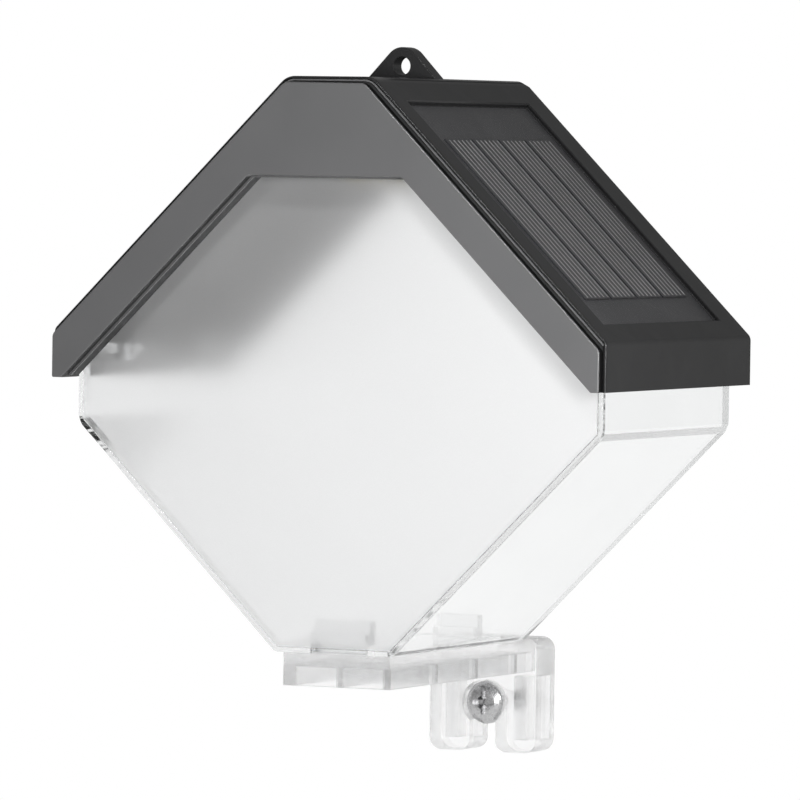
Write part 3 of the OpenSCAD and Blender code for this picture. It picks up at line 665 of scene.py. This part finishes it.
def round_edges(shape, width, chosen, segments=3, sharper_than=20.0):
    """Rounds the sharp edges whose two ends pass the test, by a width in millimetres."""
    picked = []
    for edge in shape.edges:
        if len(edge.link_faces) != 2 or edge.calc_face_angle() < radians(sharper_than):
            continue
        if chosen(*(eaves_point(v.co) for v in edge.verts)):
            picked.append(edge)
    if picked:
        bmesh.ops.bevel(
            shape, geom=picked, offset=width * MM, offset_type="OFFSET", segments=segments,
            profile=0.5, affect="EDGES", clamp_overlap=True)


def piece_from(shape, name, node, body, smooth_below=32.0):
    """Turns a bmesh into a piece that replaces a CAD node and rides on its body."""
    mesh = bpy.data.meshes.new(name)
    shape.to_mesh(mesh)
    shape.free()
    mesh.shade_smooth()
    mesh.set_sharp_from_angle(angle=radians(smooth_below))
    mesh.materials.append(MATERIALS[SLOTS[node]])
    piece = bpy.data.objects.new(name, mesh)
    bpy.context.scene.collection.objects.link(piece)
    weighted = piece.modifiers.new("face_weighted_normals", "WEIGHTED_NORMAL")
    weighted.keep_sharp = True
    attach(piece, body)
    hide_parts(node)
    return piece


def near(value, target, within=0.03):
    """True when two lengths in millimetres are about the same."""
    return abs(value - target) < within


def along_depth(a, b):
    """True for an edge that runs front to back."""
    return near(a[0], b[0]) and near(a[2], b[2]) and abs(a[1] - b[1]) > 0.2


def in_plane(a, b, depth):
    """True for an edge that lies at one depth."""
    return near(a[1], depth) and near(b[1], depth)


def chevron(eave, slope, ridge, side=1):
    """Corners of the roof's outline set in by three distances, from the eaves' foot up."""
    x = ROOF_HALF - eave
    top = RIDGE_Z - ridge
    turn = ROOF_HALF + EAVE_H - slope * 2 ** 0.5
    return [(side * x, 0.0), (side * x, turn - x), (side * (turn - top), top)]


def rounded_path(points, radii, steps=6):
    """A path whose inner corners become arcs of the given radii."""
    path = [Vector(points[0])]
    for before, corner, after, radius in zip(points, points[1:], points[2:], radii):
        corner = Vector(corner)
        back = (Vector(before) - corner).normalized()
        ahead = (Vector(after) - corner).normalized()
        half = back.angle(ahead) / 2
        centre = corner + (back + ahead).normalized() * radius / sin(half)
        arm = corner + back * radius / tan(half) - centre
        turn = 2 * (radians(90) - half)
        if arm.cross(corner + ahead * radius / tan(half) - centre) < 0:
            turn = -turn
        for k in range(steps + 1):
            angle = turn * k / steps
            path.append(centre + Vector((arm.x * cos(angle) - arm.y * sin(angle),
                                         arm.x * sin(angle) + arm.y * cos(angle))))
    path.append(Vector(points[-1]))
    return path


def path_bar(shape, paths, d0, d1, material_index=0):
    """Adds a closed bar between two paths of x and z, from one depth to another."""
    rows = [[shape.verts.new(from_eaves(x, d, z)) for x, z in path]
            for path in paths for d in (d0, d1)]
    order = (rows[0], rows[1], rows[3], rows[2])
    for k in range(4):
        here, after = order[k], order[(k + 1) % 4]
        for n in range(len(here) - 1):
            face = shape.faces.new((here[n], here[n + 1], after[n + 1], after[n]))
            face.material_index = material_index
    for end in (0, -1):
        shape.faces.new([row[end] for row in order]).material_index = material_index


def chevron_bar(shape, outer, inner, d0, d1, material_index=0):
    """Adds a bar that follows the roof's rounded outline between two insets."""
    paths = []
    for inset in (outer, inner):
        corners = chevron(*inset) + chevron(*inset, side=-1)[::-1]
        at_eave, at_ridge = EAVE_ROUND - inset[0], RIDGE_ROUND - inset[2]
        paths.append(rounded_path(corners, (at_eave, at_ridge, at_ridge, at_eave)))
    path_bar(shape, paths, d0, d1, material_index)


def window_bar(shape, low, high, d0, d1, material_index):
    """Adds a bar along the window's edge, between two heights above its wall."""
    paths = []
    for rise in (low, high):
        top = WINDOW_TOP - rise
        sum_xz = ROOF_HALF + EAVE_H - (BAND_W + rise) * 2 ** 0.5
        corners = [(sum_xz - BAR_FOOT_LIFT, BAR_FOOT_LIFT), (sum_xz - top, top)]
        corners += [(-x, z) for x, z in corners[::-1]]
        paths.append(rounded_path(corners, (BAR_ROUND, BAR_ROUND)))
    path_bar(shape, paths, d0, d1, material_index)


def rounded_roof():
    """The roof, with a thin skin brought forward round its front, and its panel recess walls
    coloured near-black as painted shade.
    """
    shape = cad_mesh("roof_shell")

    def corner(x, z):
        return lambda a, b: along_depth(a, b) and near(abs(a[0]), x) and near(a[2], z)

    round_edges(shape, RIDGE_EDGE, corner(RIDGE_HALF, RIDGE_Z), 6)
    round_edges(shape, EAVE_EDGE, corner(ROOF_HALF, EAVE_H), 4)

    def rim(a, b):
        ends = in_plane(a, b, SHELL_FRONT) or in_plane(a, b, ROOF_DEPTH)
        return ends and inside_roof(a[0], a[2]) < 0.4 and inside_roof(b[0], b[2]) < 0.4

    round_edges(shape, RIM_EDGE, rim)
    round_edges(shape, ROOF_FOOT_EDGE, lambda a, b: near(a[2], 0) and near(b[2], 0))

    def recess_rim(a, b):
        lies = inside_roof(a[0], a[2]) < 0.03 and inside_roof(b[0], b[2]) < 0.03
        inner = all(RECESS_RIM_D[0] < p[1] < RECESS_RIM_D[1]
                    and RECESS_RIM_X[0] < p[0] < RECESS_RIM_X[1] for p in (a, b))
        return lies and inner

    round_edges(shape, RECESS_EDGE, recess_rim)
    chevron_bar(shape, (0.0, 0.0, 0.0), SKIN_INSET, STEP_DEPTH, SHELL_FRONT)
    bmesh.ops.recalc_face_normals(shape, faces=shape.faces)

    def skin_edge(a, b):
        return (in_plane(a, b, STEP_DEPTH) and inside_roof(a[0], a[2]) < 0.37
                and inside_roof(b[0], b[2]) < 0.37)

    round_edges(shape, SKIN_EDGE, skin_edge, 5)

    def tab(a, b):
        high = a[2] > RIDGE_Z + 0.1 or b[2] > RIDGE_Z + 0.1
        return (high and abs(a[1] - b[1]) < 0.05
                and abs(a[1] - ROOF_DEPTH / 2) < TAB_HALF_T + 0.1)

    round_edges(shape, TAB_EDGE, tab, 2)
    # The panel recess walls get a near-black copy of the roof plastic: painted shade
    for face in shape.faces:
        x, d, z = eaves_point(face.calc_center_median())
        depth = inside_roof(x, z)
        walls = (RECESS_DEPTH[0] < depth < RECESS_DEPTH[1]
                 and RECESS_RANGE_D[0] < d < RECESS_RANGE_D[1])
        if x > RIDGE_HALF and walls and face.normal.z > -0.3:
            face.material_index = 1
    piece = piece_from(shape, "rounded_roof", "roof_shell", "lamp")
    piece.data.materials.append(MATERIALS["deep_painted_shade"])


def rounded_fascia():
    """The fascia: its face stands proud of the roof's edge, inside a shadow gap whose floor and
    walls, like the window's reveal, are coloured dark as painted shade.
    """
    shape = cad_mesh("front_fascia")
    face_paths = chevron(*FACE_INSET), chevron(*LEFT_FACE_INSET)
    foot_paths = [chevron(*(inset + FOOT_FLARE for inset in insets))
                  for insets in (FACE_INSET, LEFT_FACE_INSET)]
    for vertex in shape.verts:
        x, d, z = eaves_point(vertex.co)
        depth = inside_roof(x, z)
        if d > SHELL_FRONT + 0.1 or depth > 1.3 or (d < 0.1 and depth > 0.1):
            continue
        path = (face_paths if depth < 0.1 else foot_paths)[x < 0]
        level = 2 if abs(x) < RIDGE_HALF + 1 else (1 if z > 5 else 0)
        new_x, new_z = path[level]
        new_d = STEP_DEPTH if near(d, CAD_GROOVE_DEPTH) else d
        vertex.co = from_eaves(new_x if x > 0 else -new_x, new_d, new_z)

    def corner(level, width, segments):
        for side, path in ((1, face_paths[0]), (-1, face_paths[1])):
            x, z = path[level]
            round_edges(shape, width, lambda a, b: (
                along_depth(a, b) and near(a[0], side * x, 0.05) and near(a[2], z, 0.05)),
                segments)

    corner(2, FACE_RIDGE_EDGE, 5)
    corner(1, FACE_SLOPE_EDGE, 4)
    corner(0, FACE_EAVE_EDGE, 5)

    def window_corner(a, b):
        return along_depth(a, b) and near(a[2], WINDOW_TOP, 0.05) and a[1] < BODY_FRONT - 0.1

    round_edges(shape, WINDOW_EDGE, window_corner, 4)

    def face(a, b):
        return in_plane(a, b, 0)

    round_edges(shape, FACE_EDGE, face, 4, 30.0)
    chevron_bar(shape, LIP_INSET, LIP_INNER, STEP_DEPTH - 0.02, SHELL_FRONT)
    # The groove's floor bar takes the darker copy of the fascia plastic: painted shade
    chevron_bar(shape, LIP_INNER, tuple(inset + GROOVE_OVERLAP for inset in FACE_INSET),
                GROOVE_DEPTH, SHELL_FRONT, 1)
    window_bar(shape, *TRIM_BAR, 0)
    # The near-black strip behind the trim is painted shade, not a part
    window_bar(shape, *SHADE_STRIP_BAR, 2)
    bmesh.ops.recalc_face_normals(shape, faces=shape.faces)
    # Reveal walls take the darker fascia copy; the groove's side walls and the lip's front at the
    # eaves take the near-black one: painted shade
    for edge_face in shape.faces:
        x, d, z = eaves_point(edge_face.calc_center_median())
        on_slope = near(inside_roof(x, z), BAND_W, 0.05) and z < WINDOW_TOP
        if on_slope and abs(edge_face.normal.y) < 0.3 and edge_face.material_index == 0:
            edge_face.material_index = 1
        if abs(x) > ROOF_HALF - LIP_INNER[0] and near(d, STEP_DEPTH - 0.02):
            edge_face.material_index = 2
        if 0.5 < d < STEP_DEPTH - 0.05 and inside_roof(x, z) < 2.2:
            edge_face.material_index = 2
    piece = piece_from(shape, "rounded_fascia", "front_fascia", "lamp")
    piece.data.materials.append(MATERIALS["fascia_painted_shade"])
    piece.data.materials.append(MATERIALS["deep_painted_shade"])


def rounded_rear_frame():
    """The rear frame, rounded along its outer face."""
    shape = cad_mesh("rear_frame")
    round_edges(shape, REAR_EDGE, lambda a, b: in_plane(a, b, ROOF_DEPTH), 3, 30.0)
    piece_from(shape, "rounded_rear_frame", "rear_frame", "lamp")


def rounded_body():
    """The clear body, with its knees, foot and rims rounded."""
    shape = cad_mesh("clear_body")

    def corner(x, z):
        return lambda a, b: (along_depth(a, b) and near(abs(a[0]), x, 0.05)
                             and near(a[2], z, 0.05))

    def rims(a, b):
        return in_plane(a, b, BODY_FRONT) or in_plane(a, b, BODY_BACK)

    round_edges(shape, KNEE_EDGE, corner(BODY_HALF, BODY_KNEE_Z), 6)
    round_edges(shape, FOOT_EDGE, corner(BODY_FOOT_X, BODY_FOOT_Z), 4)
    round_edges(shape, BODY_RIM_EDGE, rims, 3, 30.0)
    piece_from(shape, "moulded_body", "clear_body", "lamp")


def frosted_pane():
    """The pane: frosted on its outer face, polished on the rest."""
    shape = cad_mesh("front_diffuser")
    for face in shape.faces:
        outer = face.normal.y < -0.9
        face.material_index = 0 if outer else 1
    piece = piece_from(shape, "frosted_pane", "front_diffuser", "lamp")
    piece.data.materials.append(MATERIALS["pane_back"])


def rounded_bracket():
    """The wall bracket, rounded all over, in a milkier plastic than the body's."""
    shape = cad_mesh("wall_bracket")
    round_edges(shape, BRACKET_EDGE, lambda a, b: True, 2, 30.0)
    piece = piece_from(shape, "moulded_bracket", "wall_bracket", "bracket")
    piece.data.materials[0] = MATERIALS["bracket_plastic"]


# Solar cells

def slope_point(s, d, h):
    """Point on the right slope: down it, in depth and above its face, in millimetres."""
    root = 0.5 ** 0.5
    return from_eaves(RIDGE_HALF + (s + h) * root, d, RIDGE_Z - (s - h) * root)


def slope_block(shape, s0, s1, d0, d1, h0, h1, material_index):
    """Adds a flat block that lies along the right slope."""
    corners = [shape.verts.new(slope_point(s, d, h))
               for h in (h0, h1) for s, d in ((s0, d0), (s1, d0), (s1, d1), (s0, d1))]
    low, high = corners[:4], corners[4:]
    faces = [high, low[::-1]]
    for k in range(4):
        n = (k + 1) % 4
        faces.append([low[k], low[n], high[n], high[k]])
    for loop in faces:
        shape.faces.new(loop).material_index = material_index


def printed_cells():
    """Cell strips with fine silver lines down the slope."""
    shape = bmesh.new()
    for k in range(CELL_COUNT):
        d0 = CELL_FIRST_D + k * (CELL_W + CELL_GAP)
        s0, s1 = CELL_FIRST_S, CELL_FIRST_S + CELL_LEN
        slope_block(shape, s0, s1, d0, d0 + CELL_W, CELL_LOW, CELL_TOP, 0)
        for line in range(LINES_PER_CELL):
            middle = (d0 + CELL_W / 2 + LINE_SHIFT
                      + (line - (LINES_PER_CELL - 1) / 2) * LINE_PITCH)
            slope_block(shape, s0 + LINE_END, s1 - LINE_END,
                        middle - LINE_W / 2, middle + LINE_W / 2,
                        CELL_TOP + LINE_LOW, CELL_TOP + LINE_TOP, 1)
    bmesh.ops.recalc_face_normals(shape, faces=shape.faces)
    piece = piece_from(shape, "printed_cells", "solar_cells", "lamp")
    piece.data.materials.append(MATERIALS["silver_print"])


# Stage, light and camera

def area_light(name, watts, size, place):
    """A disc lamp at a place, aimed at the light's middle."""
    data = bpy.data.lights.new(name, "AREA")
    data.energy = watts
    data.shape = "DISK"
    data.size = size
    light = bpy.data.objects.new(name, data)
    light.location = place
    light.rotation_mode = "QUATERNION"
    toward = Vector(LAMP_AIM) - Vector(place)
    light.rotation_quaternion = toward.to_track_quat("-Z", "Y")
    bpy.context.scene.collection.objects.link(light)


def make_floor():
    """A plain floor under the light."""
    low = CAD_BOX[0].z - FLOOR_DROP
    half = FLOOR_HALF
    mesh = bpy.data.meshes.new("floor")
    mesh.from_pydata([(-half, -half, low), (half, -half, low), (half, half, low),
                      (-half, half, low)], [], [(0, 1, 2, 3)])
    mesh.materials.append(stage_white("floor_white", FLOOR_SHADE))
    floor = bpy.data.objects.new("floor", mesh)
    bpy.context.scene.collection.objects.link(floor)


def make_world():
    """An even white studio: soft light, and white to camera and glass, dimmer to mirrors."""
    world = bpy.data.worlds.new("studio")
    world.use_nodes = True
    tree = world.node_tree
    tree.nodes.clear()
    lit = add(tree, "ShaderNodeBackground")
    lit.inputs["Color"].default_value = (1.0, 1.0, 1.0, 1.0)
    lit.inputs["Strength"].default_value = WORLD_LEVEL
    shown = add(tree, "ShaderNodeBackground")
    shown.inputs["Color"].default_value = (1.0, 1.0, 1.0, 1.0)
    height = add(tree, "ShaderNodeSeparateXYZ")
    join(tree, add(tree, "ShaderNodeTexCoord").outputs["Generated"], height.inputs["Vector"])
    steep = math_node(tree, "ABSOLUTE", height.outputs["Z"])
    mirrored = spread(tree, steep, MIRROR_BAND, MIRROR_BAND + MIRROR_FADE, MIRROR_LEVEL,
                      MIRROR_DIM)
    # Rays through rough clear plastic count as glossy and as transmission rays at once
    rays = add(tree, "ShaderNodeLightPath")
    mirror_ray = math_node(tree, "SUBTRACT", rays.outputs["Is Glossy Ray"],
                           rays.outputs["Is Transmission Ray"], clamp=True)
    level = add(tree, "ShaderNodeMix", data_type="FLOAT")
    join(tree, mirror_ray, level.inputs[MIX_FACTOR])
    level.inputs[MIX_VALUE_A].default_value = 1.0
    join(tree, mirrored, level.inputs[MIX_VALUE_B])
    join(tree, level.outputs[0], shown.inputs["Strength"])
    mixed = add(tree, "ShaderNodeMixShader")
    join(tree, seen_directly(tree), mixed.inputs["Fac"])
    join(tree, lit.outputs["Background"], mixed.inputs[1])
    join(tree, shown.outputs["Background"], mixed.inputs[2])
    out = add(tree, "ShaderNodeOutputWorld")
    join(tree, mixed.outputs["Shader"], out.inputs["Surface"])
    bpy.context.scene.world = world


def make_camera():
    """The camera at the photograph's place and angle."""
    yaw, pitch, roll = (radians(a) for a in (CAMERA_YAW, CAMERA_PITCH, CAMERA_ROLL))
    ahead = Vector((-sin(yaw) * cos(pitch), cos(yaw) * cos(pitch), sin(pitch)))
    level = Vector((cos(yaw), sin(yaw), 0.0))
    upright = level.cross(ahead)
    right = level * cos(roll) + upright * sin(roll)
    up = upright * cos(roll) - level * sin(roll)
    away = -(CAMERA_RIGHT * right + CAMERA_UP * up + CAMERA_AWAY * ahead)
    camera = bpy.data.objects.new("camera", bpy.data.cameras.new("camera"))
    camera.data.sensor_width = SENSOR_MM
    camera.data.lens = CAMERA_FOCAL_PX * SENSOR_MM / IMAGE_PX
    camera.data.clip_start = CLIP_NEAR
    camera.data.clip_end = CLIP_FAR
    turn = Matrix((right, up, -ahead)).transposed().to_4x4()
    camera.matrix_world = Matrix.Translation(
        away * ROOF_HALF * MM + from_eaves(0, 0, 0)) @ turn
    bpy.context.scene.collection.objects.link(camera)
    bpy.context.scene.camera = camera


make_camera()
make_world()
for lamp in LAMPS:
    area_light(*lamp)
make_floor()
bpy.context.scene.view_settings.view_transform = "Standard"
light_paths = bpy.context.scene.cycles
light_paths.max_bounces = LIGHT_BOUNCES
light_paths.transmission_bounces = LIGHT_BOUNCES
light_paths.transparent_max_bounces = LIGHT_BOUNCES
light_paths.glossy_bounces = LIGHT_BOUNCES
dress_nodes()
rounded_roof()
rounded_fascia()
rounded_rear_frame()
rounded_body()
rounded_bracket()
frosted_pane()
printed_cells()
